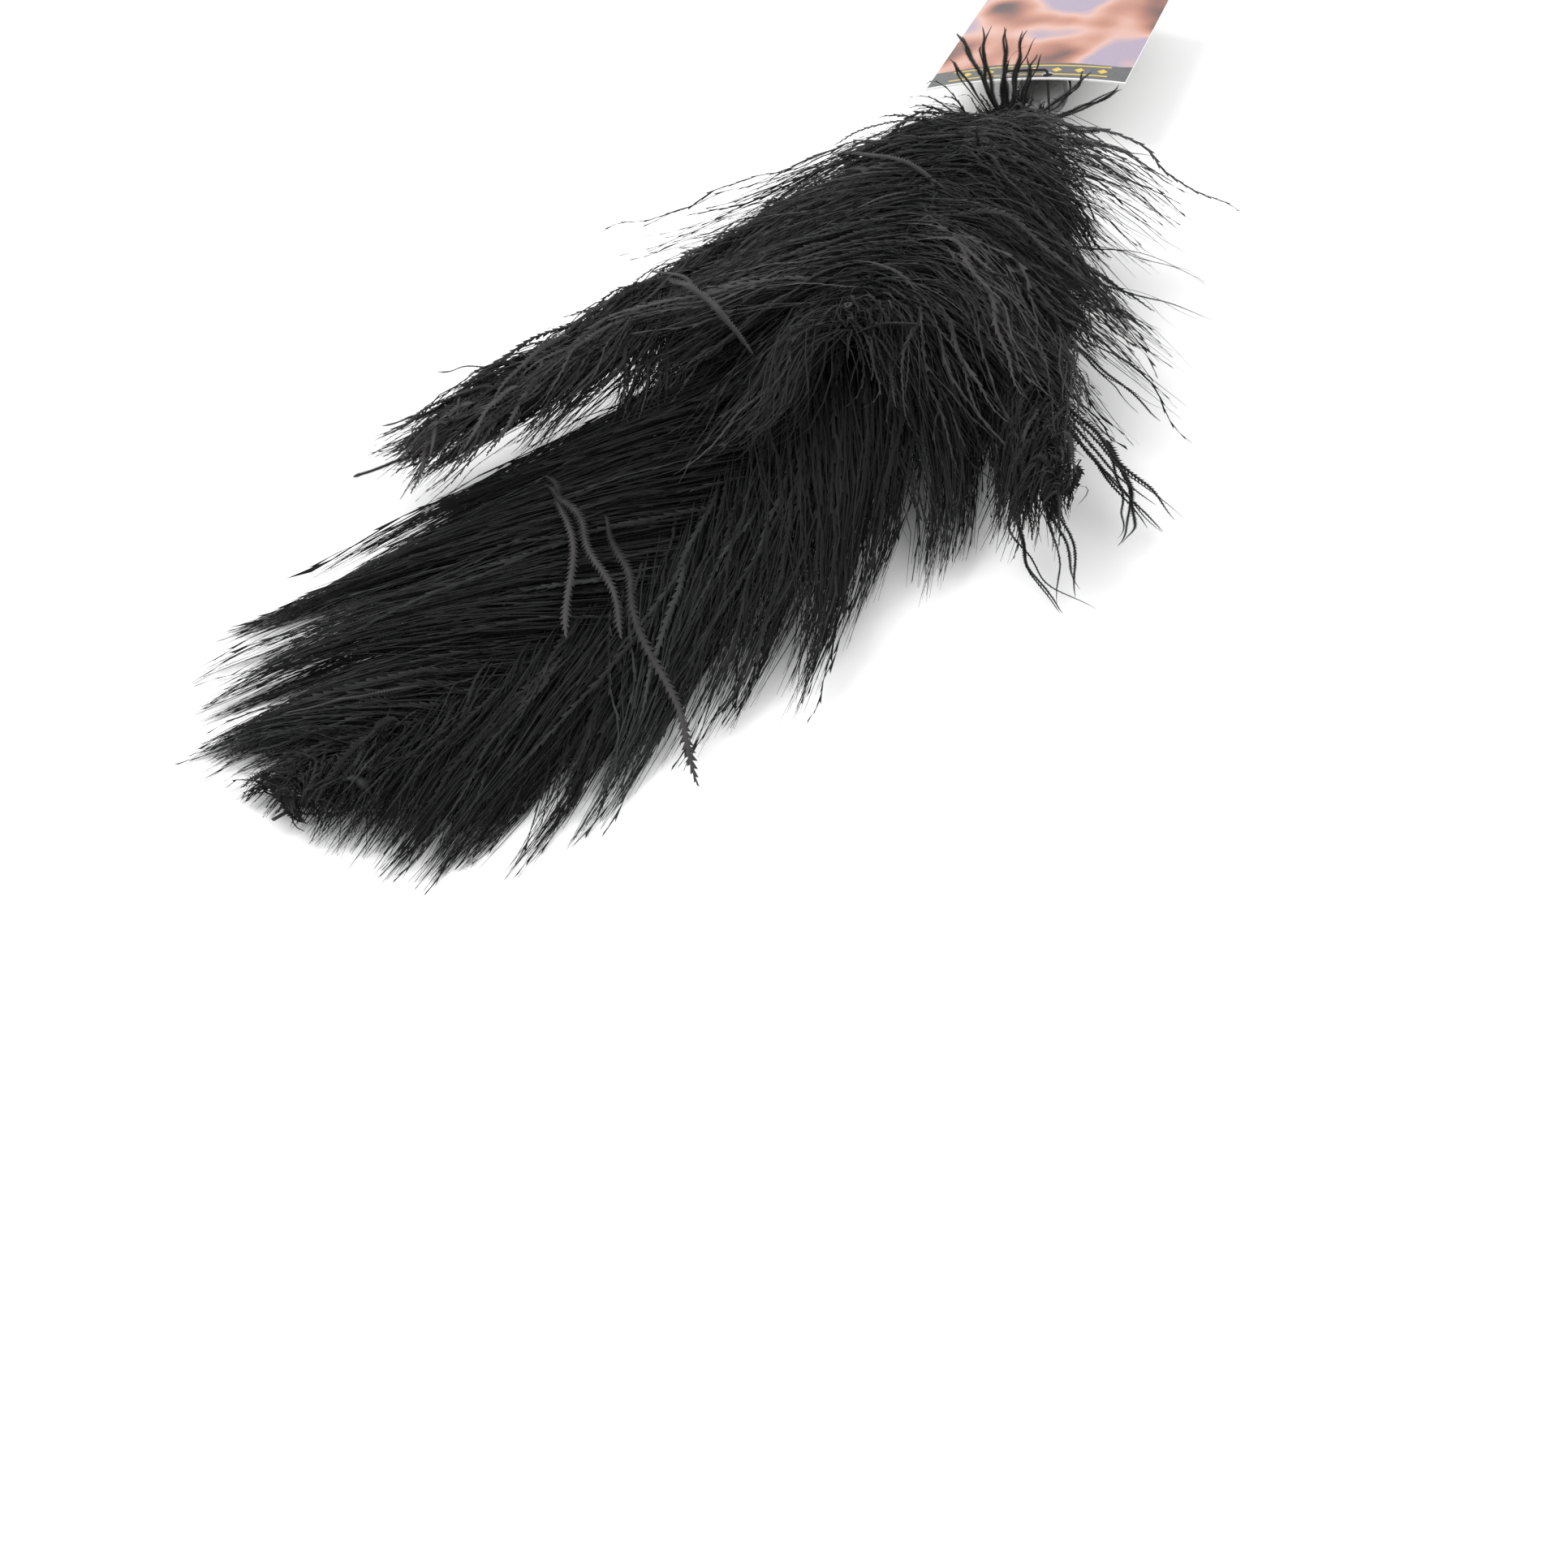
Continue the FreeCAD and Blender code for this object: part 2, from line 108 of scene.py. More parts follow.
# How each vane's barbs run. Shares are of the shaft's length, counted from its root:
#   count    barbs, before the layers take their shares
#   locks    pointed locks that they gather in
#   limit    share, past the shaft's end if over 1, that no barb's tip passes
#   sweep    how far on from its root a barb's tip lies, at the shaft's root and at its end
#   edge     the vane's outline: share, and distance from the shaft in mm
#   start    angle in degrees between barb and shaft at the barb's root, and "finish" at its tip
#   arch     how far a barb rises above its ends, in mm, and "fall" how far its tip hangs
#   thick    half the height that the locks are spread over, in mm
#   mound    height of the heap under the top plume's tip, in mm
#   scatter  scatter of the locks' tips, in mm, and "uneven" of their widths, as a share
#   wave     size of the barbs' waves, in mm
VANES = {
    "centre_left": {
        "count": 1400,
        "locks": 44,
        "limit": 1.0,
        "sweep": (0.5, 0.52),
        "edge": (
            (0.15, 26), (0.45, 41), (0.62, 48), (0.7, 56), (0.78, 67),
            (0.85, 71), (0.92, 78), (0.97, 59), (1.01, 29),
        ),
        "start": 22,
        "finish": 3,
        "arch": 5,
        "fall": 5,
        "thick": 6,
        "mound": 13,
        "scatter": 3.5,
        "uneven": 0.07,
        "wave": 1.0,
    },
    "centre_right": {
        "count": 1400,
        "locks": 44,
        "limit": 0.985,
        "sweep": (0.22, 0.42),
        "edge": (
            (0.15, 42), (0.3, 53), (0.6, 67), (0.7, 67), (0.78, 59),
            (0.86, 47), (0.93, 51), (0.97, 44), (1.01, 7),
        ),
        "start": 29,
        "finish": 15,
        "arch": 5,
        "fall": 5,
        "thick": 6,
        "mound": 30,
        "scatter": 3.5,
        "uneven": 0.07,
        "wave": 1.0,
    },
    "left_left": {
        "count": 900,
        "locks": 34,
        "limit": 1.06,
        "sweep": (0.22, 0.26),
        "edge": ((0.1, 8), (0.3, 9), (0.6, 5), (0.85, 6), (1.0, 17), (1.06, 14)),
        "start": 50,
        "finish": 26,
        "arch": 0,
        "fall": 26,
        "thick": 4,
        "mound": 0,
        "scatter": 4,
        "uneven": 0.14,
        "wave": 1.4,
    },
    "left_right": {
        "count": 1250,
        "locks": 34,
        "limit": 1.08,
        "sweep": (0.26, 0.3),
        "edge": ((0.1, 18), (0.4, 54), (0.65, 53), (0.8, 42), (0.92, 26), (1.0, 13), (1.08, 5)),
        "start": 44,
        "finish": 8,
        "arch": 3,
        "fall": 14,
        "thick": 6,
        "mound": 0,
        "scatter": 5,
        "uneven": 0.12,
        "wave": 1.4,
    },
    "right_left": {
        "count": 680,
        "locks": 30,
        "limit": 1.06,
        "sweep": (0.26, 0.28),
        "edge": ((0.1, 18), (0.4, 34), (0.7, 33), (0.85, 30), (0.95, 24), (1.06, 16)),
        "start": 46,
        "finish": 24,
        "arch": 3,
        "fall": 30,
        "thick": 6,
        "mound": 0,
        "scatter": 6,
        "uneven": 0.14,
        "wave": 1.4,
    },
    "right_right": {
        "count": 800,
        "locks": 36,
        "limit": 0.9,
        "sweep": (0.1, 0.12),
        "edge": ((0.1, 5), (0.35, 27), (0.6, 26), (0.78, 12), (0.9, 3)),
        "start": 72,
        "finish": 56,
        "arch": 3,
        "fall": 18,
        "thick": 6,
        "mound": 0,
        "scatter": 6,
        "uneven": 0.14,
        "wave": 1.6,
    },
    "top_left": {
        "count": 1350,
        "locks": 60,
        "limit": 1.3,
        "sweep": (0.1, 0.3),
        "edge": ((0.12, 7), (0.35, 48), (0.55, 67), (0.7, 73), (1.0, 77), (1.3, 73)),
        "start": 52,
        "finish": 50,
        "arch": 3,
        "fall": 27,
        "thick": 5,
        "mound": 0,
        "scatter": 12,
        "uneven": 0.13,
        "wave": 2.6,
    },
    "top_right": {
        "count": 1400,
        "locks": 60,
        "limit": 1.28,
        "sweep": (0.03, 0.14),
        "edge": ((0.12, 8), (0.33, 44), (0.64, 76), (0.95, 85), (1.2, 80), (1.28, 69)),
        "start": 78,
        "finish": 60,
        "arch": 6,
        "fall": 27,
        "thick": 7,
        "mound": 0,
        "scatter": 12,
        "uneven": 0.13,
        "wave": 2.8,
    },
}
SIDES = {"left": 1.0, "right": -1.0}

for key, vane in VANES.items():
    vane.update(PLUMES[key.split("_")[0]])

# Under the tip of the top plume the centre plume's barbs are heaped up, by shares of its length.
MOUND_PLACE = 0.37
MOUND_SPAN = 0.17
TIP_MOUND = 0.12

# No barb starts past this share of the shaft.
LAST_SHARE = 0.97
# How gently a tip's place changes from following its root to stopping at the vane's limit.
LIMIT_BLEND = 2.6
LEAST_ROOM = 0.02
# How far out of the shaft the outline has to be for a tip to hang fully.
FULL_FALL = 50 * MM
# Share of their scatter that the tips of the first barbs keep, and where it gets full.
FIRST_STRAY = 0.35
FULL_STRAY = 0.3
# Handle lengths of a barb's curve, as shares of its span.
ROOT_HANDLE = 0.34
TIP_HANDLE = 0.36


def smooth(share):
    """An even step from 0 to 1."""
    share = np.clip(share, 0.0, 1.0)
    return share * share * (3.0 - 2.0 * share)


def unit(vectors):
    """Vectors of length 1."""
    length = np.linalg.norm(vectors, axis=-1, keepdims=True)
    return vectors / np.maximum(length, 1e-9)


# Sections of a shaft are told apart by their places along it, rounded to this many decimals.
SECTION_DECIMALS = 4
SECTION_HALF = 0.5 * MM
# The shaft's direction is taken between a share a little behind and one further on.
BEHIND = 0.02
AHEAD = 0.06


class Shaft:
    """The middle line of a plume's shaft, read from its CAD node's sections."""

    def __init__(self, plume):
        mesh = nodes[f"{plume}_shaft"].data
        flat = np.empty(len(mesh.vertices) * 3)
        mesh.vertices.foreach_get("co", flat)
        points = flat.reshape(-1, 3)
        places = np.unique(np.round(points[:, 0], SECTION_DECIMALS))[::-1]
        rows = [points[np.abs(points[:, 0] - x) < SECTION_HALF].mean(axis=0) for x in places]
        self.points = np.array(rows)
        self.reach = float(places[0] - places[-1])
        self.shares = (places[0] - places) / self.reach

    def at(self, share):
        """Points at shares of the length, going straight on past the tip."""
        share = np.asarray(share, dtype=float)
        inside = np.clip(share, 0.0, 1.0)
        axes = [np.interp(inside, self.shares, self.points[:, axis]) for axis in range(3)]
        over = (share - inside)[..., None]
        end = (self.points[-1] - self.points[-2]) / (self.shares[-1] - self.shares[-2])
        return np.stack(axes, -1) + over * end

    def along(self, share):
        """Directions of the shaft, towards its tip."""
        return unit(self.at(np.asarray(share) + AHEAD) - self.at(np.asarray(share) - BEHIND))


SHAFTS = {plume: Shaft(plume) for plume in PLUMES}


def across(direction, sign):
    """Level directions square to the shaft, on the side asked for."""
    side = np.stack([direction[..., 1], -direction[..., 0], np.zeros(direction.shape[:-1])], -1)
    return unit(side) * sign


def bezier(a, b, c, d, t):
    """Points of cubic curves, one curve per row."""
    a, b, c, d = (p[:, None, :] for p in (a, b, c, d))
    s = 1.0 - t
    return s ** 3 * a + 3 * s * s * t * b + 3 * s * t * t * c + t ** 3 * d


def vane_curves(shaft, vane, sign, share, width, t, stray, shift):
    """The run of a barb from its root on the shaft to the vane's outline.

    "stray" moves its tip and "shift" its root, each a point's offset per barb."""
    room = np.maximum(vane["limit"] - share, LEAST_ROOM)
    sweep = vane["sweep"][0] + (vane["sweep"][1] - vane["sweep"][0]) * share
    tip_share = share + (room ** -LIMIT_BLEND + sweep ** -LIMIT_BLEND) ** (-1.0 / LIMIT_BLEND)
    edge = np.array(vane["edge"])
    reach = np.interp(tip_share, edge[:, 0], edge[:, 1]) * MM * width
    root = shaft.at(share)
    root_along = shaft.along(share)
    tip_along = shaft.along(np.minimum(tip_share, 1.0))
    tip = shaft.at(tip_share) + across(tip_along, sign) * reach[:, None]
    tip[:, 2] -= vane["fall"] * MM * smooth(reach / FULL_FALL)
    mound = vane["mound"] * MM * np.exp(-(((share - MOUND_PLACE) / MOUND_SPAN) ** 2))
    root = root + shift + UP * mound[:, None]
    kept = FIRST_STRAY + (1.0 - FIRST_STRAY) * smooth(share / FULL_STRAY)
    tip = tip + stray * kept[:, None] + UP * TIP_MOUND * mound[:, None]
    span = np.linalg.norm(tip - root, axis=1)[:, None]
    start = math.radians(vane["start"])
    finish = math.radians(vane["finish"])
    out = math.cos(start) * root_along + math.sin(start) * across(root_along, sign)
    into = math.cos(finish) * tip_along + math.sin(finish) * across(tip_along, sign)
    return bezier(root, root + out * span * ROOT_HANDLE, tip - into * span * TIP_HANDLE, tip, t)


# Ranges of a lock's place between its neighbours, of how full it is past the fan's start, of its
# height in the vane, and of how hard it draws its barbs.
LOCK_PLACE = (0.1, 0.9)
LOCK_FILLING = (0.05, 1.0)
LOCK_LEVEL = (-0.75, 0.75)
LOCK_PULL = (0.62, 0.94)


class Locks:
    """The pointed locks that a vane's barbs gather in, shared by all its layers."""

    def __init__(self, vane, seed):
        rng = np.random.default_rng(seed)
        count = vane["locks"]
        step = (LAST_SHARE - vane["first"]) / count
        self.count = count
        self.step = step
        self.share = vane["first"] + step * (np.arange(count) + rng.uniform(*LOCK_PLACE, count))
        self.tip = rng.normal(0, vane["scatter"] * MM, (count, 3)) * FLAT
        self.width = rng.normal(1.0, vane["uneven"], count)
        self.filling = rng.uniform(*LOCK_FILLING, count)
        self.level = rng.uniform(*LOCK_LEVEL, count)
        self.pull = rng.uniform(*LOCK_PULL, count)
        self.phase = rng.uniform(0, 2 * math.pi, (2, count))
        self.tone = rng.normal(0, vane["contrast"], count)


# How far barbs start from the middle of their lock, in steps between locks.
LOCK_SPREAD = 1.5
# Under 1, more barbs run the whole way to the outline than stop short of it.
LENGTH_POWER = 0.7
# How high barbs start above their root's place, as a share of the vane's scatter.
ROOT_RISE = 0.4
# Past this share the barbs fan out and fill the tip, and past the next one they thin out.
FAN_START = 0.78
FAN_SPAN = 0.2
THIN_START = 0.86
THIN_SPAN = 0.12
# Share of its run at which a barb starts to be drawn to its lock.
PULL_START = 0.12
# Scatter of a barb's height in its lock, and how much flatter the vane is at its outline.
LEVEL_SCATTER = 0.28
FLATTER_EDGE = 0.35
# Share of the shaft from which barbs arch fully.
FULL_ARCH = 0.2
TONE_SCATTER = 0.09
# A barb's waves: share of the vane's wave, and pitch in mm.
WAVES = ((1.0, 42.0), (0.28, 17.0))
# Scatter of a wave's phase in a lock, range of its size, and how far it shows in the height.
PHASE_SCATTER = 0.6
WAVE_SIZES = (0.3, 1.2)
WAVE_HEIGHT = 0.5


def wave_lines(lines, t, locks, own, size, rng):
    """Waves along barbs, mostly shared by a lock."""
    count = len(lines)
    run = np.linalg.norm(lines[:, -1] - lines[:, 0], axis=1)[:, None] * t
    for turn, (part, pitch) in enumerate(WAVES):
        phase = locks.phase[turn][own] + rng.normal(0, PHASE_SCATTER, count)
        amount = (size * part) * MM * rng.uniform(*WAVE_SIZES, count)
        turns = run / (pitch * MM) * 2 * math.pi + phase[:, None]
        sway = amount[:, None] * np.sin(turns) * smooth(t / 0.35)
        flow = unit(np.gradient(lines, axis=1))
        lines[..., 0] += sway * flow[..., 1]
        lines[..., 1] -= sway * flow[..., 0]
        lines[..., 2] += WAVE_HEIGHT * np.roll(sway, 1, axis=0) * smooth(t / 0.5)


def grow_vane(key, layer, locks, seed):
    """Barb centre lines of one layer of a vane, with their shades."""
    rng = np.random.default_rng(seed)
    vane = VANES[key]
    plume, side = key.split("_")
    shaft = SHAFTS[plume]
    sign = SIDES[side]
    fuzz = vane["fuzz"] if layer["ragged"] else 2.0 - vane["fuzz"]
    count = int(vane["count"] * layer["share"] * fuzz)
    own = rng.integers(0, locks.count, count)
    share = locks.share[own] + rng.normal(0, locks.step * LOCK_SPREAD, count)
    share = np.clip(share, vane["first"], LAST_SHARE)
    shortest = layer["shortest"] * vane["shortest"]
    ends = shortest + (1.0 - shortest) * rng.uniform(0.0, 1.0, count) ** LENGTH_POWER
    t = np.linspace(0.0, 1.0, layer["rings"])[None, :] * ends[:, None]
    step = t[..., None]
    middle_tip = locks.tip[own] * layer["loose"]
    scatter = vane["scatter"] * MM * vane["own_scatter"] * layer["loose"]
    own_tip = middle_tip + rng.normal(0, scatter, (count, 3)) * FLAT
    shift = rng.normal(0, vane["spread"] * MM, (count, 3))
    shift[:, 2] = rng.uniform(0.0, ROOT_RISE, count) * vane["scatter"] * MM
    fan = smooth((share - FAN_START) / FAN_SPAN)
    filling = locks.filling[own] * fan + (1.0 - fan)
    filling = filling * (1.0 - vane["late"] * smooth((share - THIN_START) / THIN_SPAN))
    middle_width = locks.width[own] * filling
    width = middle_width * rng.uniform(*layer["reach"], count)
    lines = vane_curves(shaft, vane, sign, share, width, step, own_tip, shift)
    # The barb is drawn towards the middle of its lock, most of all at its tip.
    middle_share = locks.share[own]
    middle = vane_curves(shaft, vane, sign, middle_share, middle_width, step, middle_tip, shift)
    pull = locks.pull[own] * layer["gather"]
    drawn = pull[:, None] * smooth((t - PULL_START) / (1.0 - PULL_START))
    lines = lines + (middle - lines) * drawn[..., None]
    # Each lock lies at its own height in the vane, crowned in the middle.
    level = np.clip(locks.level[own] + rng.normal(0, LEVEL_SCATTER, count), -1.0, 1.2)[:, None]
    lift = vane["thick"] * MM * level * smooth(t / 0.3) * (1.0 - FLATTER_EDGE * t)
    lift = lift + vane["arch"] * MM * 4.0 * t * (1.0 - t) * smooth(share / FULL_ARCH)[:, None]
    lift = lift + layer["raise"] * MM * smooth(t / 0.25)
    lines[..., 2] += lift
    wave_lines(lines, t, locks, own, vane["wave"] * layer["wave"], rng)
    lines[..., 2] = np.maximum(lines[..., 2], FLOOR + 2 * FLOOR_GAP)
    tone = layer["tone"] + locks.tone[own] + rng.normal(0, TONE_SCATTER, count)
    inside_left = lines[..., 1].max(axis=1) < REACH_LEFT
    inside_right = lines[..., 1].min(axis=1) > REACH_RIGHT
    kept = inside_left & inside_right
    return lines[kept], tone[kept], rng


# Barbules are this many ring steps long, and uneven between these shares of how far out they
# stand; where there is none, an edge is half as far out.
BARBULE_STEPS = 1.3
BARBULE_REACH = (0.6, 1.5)
BARE_EDGE = 0.5
# The most that a strand twists from root to tip, in radians, either way.
TWIST = 0.5
# Painted light along each strand: painted shade near the root and a painted highlight towards the
# tip. How much lighter a strand gets from root to tip, and the share where it has its own shade.
PAINTED_TIP_LIGHT = 0.46
PAINTED_LIGHT_FROM = 0.6


def barbules(lines, ragged, phase, rng):
    """How far out, and how far forward, one edge of each strand is at each ring.

    Every other ring, odd ones for phase 1, is drawn out into a barbule."""
    count, rings = lines.shape[:2]
    odd = (np.arange(rings) % 2)[None, :, None]
    uneven = rng.uniform(*BARBULE_REACH, (count, rings, 1))
    step = np.linalg.norm(np.gradient(lines, axis=1), axis=-1, keepdims=True)
    out = np.where(odd == phase, 1.0 + ragged * uneven, BARE_EDGE)
    forward = np.where(odd == phase, BARBULE_STEPS, 0.0) * step
    for end in (0, -1):
        out[:, end] = BARE_EDGE
        forward[:, end] = 0.0
    return out, forward


def ribbon(lines, widths, tone, rng, roll, thick, ragged):
    """Closed three-sided strands along lines: a flat underside and a low ridge.

    A ragged strand's edges are drawn out into barbules that point to its tip."""
    count, rings = lines.shape[:2]
    flow = unit(np.gradient(lines, axis=1))
    side = unit(np.cross(flow, UP[None, None, :]))
    top = np.cross(side, flow)
    angle = rng.normal(0, roll, count)[:, None]
    twist = rng.uniform(-TWIST, TWIST, count)[:, None] * np.linspace(0, 1, rings)
    angle = (angle + twist)[..., None]
    turned = side * np.cos(angle) + top * np.sin(angle)
    ridge = top * np.cos(angle) - side * np.sin(angle)
    half = widths[..., None] / 2
    left_out, left_forward = 1.0, 0.0
    right_out, right_forward = 1.0, 0.0
    if ragged > 0:
        left_out, left_forward = barbules(lines, ragged, 1, rng)
        right_out, right_forward = barbules(lines, ragged, 0, rng)
    left = lines + turned * half * left_out + flow * left_forward
    right = lines - turned * half * right_out + flow * right_forward
    crest = lines + ridge * half * thick * 2
    verts = np.stack([left, right, crest], axis=2)
    verts[..., 2] = np.maximum(verts[..., 2], FLOOR + FLOOR_GAP)
    verts = verts.reshape(-1, 3)
    first = np.arange(count) * rings * 3
    final = first + (rings - 1) * 3
    ring = (np.arange(rings - 1) * 3)[None, :]
    a = (first[:, None] + ring).reshape(-1)
    quads = np.concatenate([
        np.stack([a, a + 1, a + 4, a + 3], -1),
        np.stack([a + 1, a + 2, a + 5, a + 4], -1),
        np.stack([a + 2, a, a + 3, a + 5], -1),
    ])
    caps = np.concatenate([
        np.stack([first, first + 2, first + 1], -1),
        np.stack([final, final + 1, final + 2], -1),
    ])
    # Painted shade near the root and painted light towards the tip, added to each strand's own tone.
    shades = tone[:, None] + PAINTED_TIP_LIGHT * (np.linspace(0.0, 1.0, rings)[None, :] - PAINTED_LIGHT_FROM)
    shades = np.repeat(np.clip(shades, 0.0, 1.0).reshape(-1), 3)
    return verts, quads, caps, shades, count * (rings - 1)


def piece(name, parts, material):
    """One mesh object from strands."""
    verts, quads, caps, shades, round_faces = [], [], [], [], []
    offset = 0
    for part_verts, part_quads, part_caps, part_shades, flat_count in parts:
        # The underside of each strand is flat, and the two faces that meet at its ridge are smooth.
        round_faces.append(np.arange(len(part_quads)) >= flat_count)
        verts.append(part_verts)
        quads.append(part_quads + offset)
        caps.append(part_caps + offset)
        shades.append(part_shades)
        offset += len(part_verts)
    verts = np.concatenate(verts)
    quads = np.concatenate(quads)
    caps = np.concatenate(caps)
    shades = np.concatenate(shades)
    round_faces.append(np.zeros(len(caps), dtype=bool))
    mesh = bpy.data.meshes.new(name)
    mesh.vertices.add(len(verts))
    mesh.vertices.foreach_set("co", verts.astype(np.float32).ravel())
    corners = np.concatenate([quads.ravel(), caps.ravel()]).astype(np.int32)
    mesh.loops.add(len(corners))
    mesh.loops.foreach_set("vertex_index", corners)
    quad_starts = np.arange(len(quads)) * 4
    cap_starts = len(quads) * 4 + np.arange(len(caps)) * 3
    starts = np.concatenate([quad_starts, cap_starts])
    mesh.polygons.add(len(starts))
    mesh.polygons.foreach_set("loop_start", starts.astype(np.int32))
    mesh.update(calc_edges=True)
    mesh.polygons.foreach_set("use_smooth", np.concatenate(round_faces))
    tone = mesh.attributes.new("tone", "FLOAT", "POINT")
    tone.data.foreach_set("value", shades.astype(np.float32))
    mesh.validate()
    mesh.materials.append(material)
    thing = bpy.data.objects.new(name, mesh)
    bpy.context.scene.collection.objects.link(thing)
    return thing


# Strands' full widths, as shares of their layer's.
SIZES = (0.7, 1.3)
# A strand's width at its root and at its tip, as shares of its full width.
SLIM_ROOT = 0.55
SLIM_TIP = 0.16


def taper(rings, sizes, width):
    """Widths along strands: slim at the root, full at a fifth, drawn out to the tip."""
    t = np.linspace(0.0, 1.0, rings)
    shape = SLIM_ROOT + (1.0 - SLIM_ROOT) * smooth(t / 0.2)
    shape = shape * (SLIM_TIP + (1.0 - SLIM_TIP) * (1.0 - t ** 3))
    return sizes[:, None] * width * shape[None, :]


def new_material(name):
    """A material with its shader, ready for nodes."""
    material = bpy.data.materials.new(name)
    material.use_nodes = True
    tree = material.node_tree
    return material, tree, tree.nodes["Principled BSDF"]


def object_noise(tree, scale, detail=3.0, stretch=(1.0, 1.0, 1.0), roughness=0.55):
    """Noise in the object's own coordinates."""
    place = tree.nodes.new("ShaderNodeTexCoord")
    mapping = tree.nodes.new("ShaderNodeMapping")
    mapping.inputs["Scale"].default_value = stretch
    noise = tree.nodes.new("ShaderNodeTexNoise")
    noise.inputs["Scale"].default_value = scale
    noise.inputs["Detail"].default_value = detail
    noise.inputs["Roughness"].default_value = roughness
    tree.links.new(place.outputs["Object"], mapping.inputs["Vector"])
    tree.links.new(mapping.outputs["Vector"], noise.inputs["Vector"])
    return noise


def ramp(tree, source, stops):
    """A colour ramp fed by a value."""
    node = tree.nodes.new("ShaderNodeValToRGB")
    elements = node.color_ramp.elements
    while len(elements) < len(stops):
        elements.new(0.5)
    for element, (place, colour) in zip(elements, stops):
        element.position = place
        element.color = (*colour, 1.0)
    tree.links.new(source, node.inputs["Fac"])
    return node


def span(tree, source, low, high):
    """A value from 0..1 moved to low..high."""
    node = tree.nodes.new("ShaderNodeMapRange")
    node.inputs["To Min"].default_value = low
    node.inputs["To Max"].default_value = high
    tree.links.new(source, node.inputs["Value"])
    return node


def barb_material(name, dark, middle, light, sheen):
    """Dyed barbs: near black, each strand its own shade, mottled along its length."""
    material, tree, shader = new_material(name)
    # The tone attribute holds each strand's own shade plus painted shade near its root and painted
    # light towards its tip.
    tone = tree.nodes.new("ShaderNodeAttribute")
    tone.attribute_name = "tone"
    mottle = object_noise(tree, 220.0, 2.0)
    add = tree.nodes.new("ShaderNodeMath")
    add.operation = "MULTIPLY_ADD"
    tree.links.new(mottle.outputs["Fac"], add.inputs[0])
    add.inputs[1].default_value = 0.5
    tree.links.new(tone.outputs["Fac"], add.inputs[2])
    less = tree.nodes.new("ShaderNodeMath")
    less.operation = "SUBTRACT"
    tree.links.new(add.outputs[0], less.inputs[0])
    less.inputs[1].default_value = 0.25
    colours = ramp(tree, less.outputs[0], ((0.1, dark), (0.55, middle), (0.95, light)))
    tree.links.new(colours.outputs["Color"], shader.inputs["Base Color"])
    rough = span(tree, mottle.outputs["Fac"], 0.5, 0.8)
    tree.links.new(rough.outputs["Result"], shader.inputs["Roughness"])
    shader.inputs["Specular IOR Level"].default_value = 0.15
    shader.inputs["Sheen Weight"].default_value = sheen
    shader.inputs["Sheen Roughness"].default_value = 0.5
    shader.inputs["Sheen Tint"].default_value = (0.75, 0.78, 0.8, 1.0)
    return material


DARK = (0.0018, 0.0018, 0.0017)
MIDDLE = (0.0062, 0.0063, 0.006)
SOFT_MIDDLE = (0.0072, 0.007, 0.007)
LIGHT = (0.034, 0.035, 0.036)
SOFT_LIGHT = (0.046, 0.043, 0.044)
BARBS = barb_material("barbs_black", DARK, MIDDLE, LIGHT, 0.05)
SOFT_BARBS = barb_material("barbs_soft", DARK, SOFT_MIDDLE, SOFT_LIGHT, 0.07)

# Layers of a vane's barbs, from the smooth bottom one to the flyaways:
#   share     of the vane's count, and "rings" the steps along each barb
#   gather    how closely the barbs keep to their lock
#   width     in mm, and "thick" the ridge's height as a share of it
#   ragged    how far the barbules stand out, as a share of the width
#   roll      scatter of the turn about the barb's own line, in radians
#   shortest  times the vane's least share of its run that a barb keeps
#   reach     how far out to the outline the barbs aim, lowest and highest share
#   loose     times the scatter, and "wave" times the waves
#   raise     height above the shaft in mm, and "tone" the middle shade, 0 dark to 1 light
LAYERS = (
    {
        "share": 1.6,
        "rings": 7,
        "gather": 1.0,
        "width": 0.48,
        "ragged": 0.0,
        "thick": 0.1,
        "roll": 0.22,
        "shortest": 1.0,
        "reach": (0.9, 1.0),
        "loose": 1.0,
        "wave": 1.0,
        "raise": 0.0,
        "tone": 0.38,
    },
    {
        "share": 0.34,
        "rings": 27,
        "gather": 0.95,
        "width": 0.6,
        "ragged": 1.7,
        "thick": 0.07,
        "roll": 0.3,
        "shortest": 0.85,
        "reach": (0.86, 1.02),
        "loose": 1.2,
        "wave": 1.1,
        "raise": 0.5,
        "tone": 0.47,
    },
    {
        "share": 0.06,
        "rings": 50,
        "gather": 0.85,
        "width": 1.35,
        "ragged": 0.9,
        "thick": 0.04,
        "roll": 0.25,
        "shortest": 0.7,
        "reach": (0.75, 1.0),
        "loose": 1.4,
        "wave": 1.2,
        "raise": 1.8,
        "tone": 0.6,
    },
    {
        "share": 0.012,
        "rings": 44,
        "gather": 0.3,
        "width": 0.8,
        "ragged": 1.0,
        "thick": 0.08,
        "roll": 0.3,
        "shortest": 1.2,
        "reach": (0.94, 1.06),
        "loose": 1.8,
        "wave": 1.4,
        "raise": 0.6,
        "tone": 0.3,
    },
)

# First seeds of the random draws, one set per kind of piece.
LOCK_SEED = 90
VANE_SEED = 100
RIDGE_SEED = 300
ROOT_SEED = 401
COLLAR_SEED = 402
STRAY_SEED = 500

for order, key in enumerate(VANES):
    plume, side = key.split("_")
    parts = []
    locks = Locks(VANES[key], LOCK_SEED + order)
    for depth, layer in enumerate(LAYERS):
        lines, tone, rng = grow_vane(key, layer, locks, VANE_SEED + order * 10 + depth)
        widths = taper(layer["rings"], rng.uniform(*SIZES, len(lines)), layer["width"] * MM)
        parts.append(ribbon(lines, widths, tone, rng, layer["roll"], layer["thick"], layer["ragged"]))
    thing = piece(f"{plume}_{side}_barbs", parts, BARBS if plume == "centre" else SOFT_BARBS)
    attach(thing, f"{plume}_plume")
    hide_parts(f"{plume}_{side}_vane")

